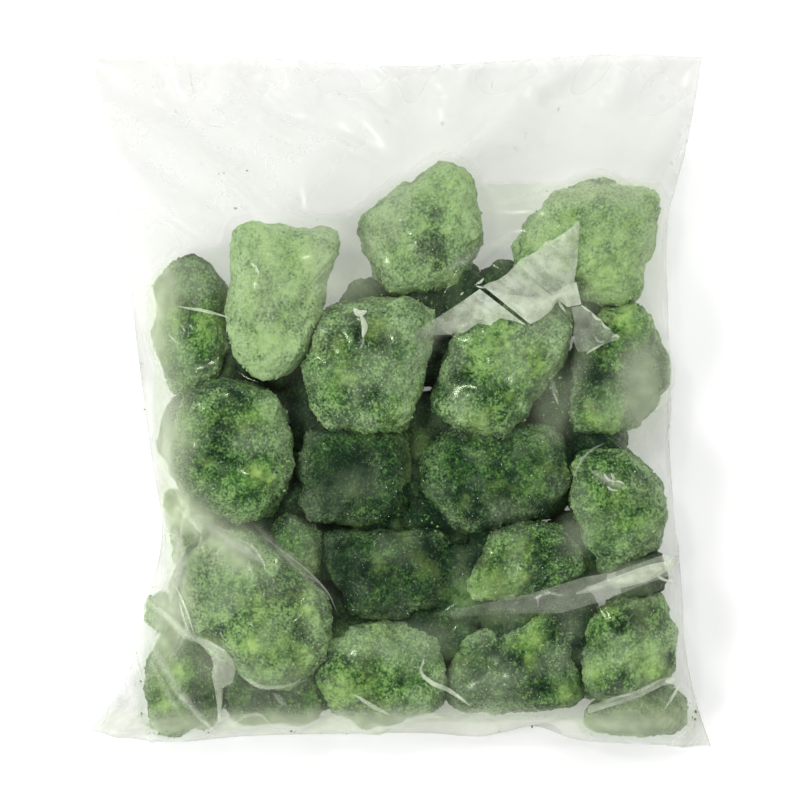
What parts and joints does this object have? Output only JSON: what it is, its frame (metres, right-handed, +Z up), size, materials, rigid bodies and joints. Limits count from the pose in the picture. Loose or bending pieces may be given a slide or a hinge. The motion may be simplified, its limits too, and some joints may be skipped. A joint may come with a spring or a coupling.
{
  "type": "bag of frozen spinach",
  "caption": "Clear sealed film bag of frozen chopped-spinach portions, lying on its back with an empty flat head and thin sealed ends.",
  "frame": {"origin": "on the surface the bag lies on, under the centre of its bounding box", "axes": "+Z up out of the bag's front, +Y along the bag towards its top seal, +X towards the right edge of the front"},
  "size_m": [0.2488, 0.2768, 0.0508],
  "materials": {
    "filled_film": "glossy film over frosted green portions",
    "clear_film": "clear glossy polyethylene film, slightly milky",
    "frozen_spinach": "matt, rough, frosted leaf",
    "frost": "small dull white ice grains"
  },
  "bodies": {
    "root": {"spinach_bag": "filled_film"}
  },
  "joints": []
}
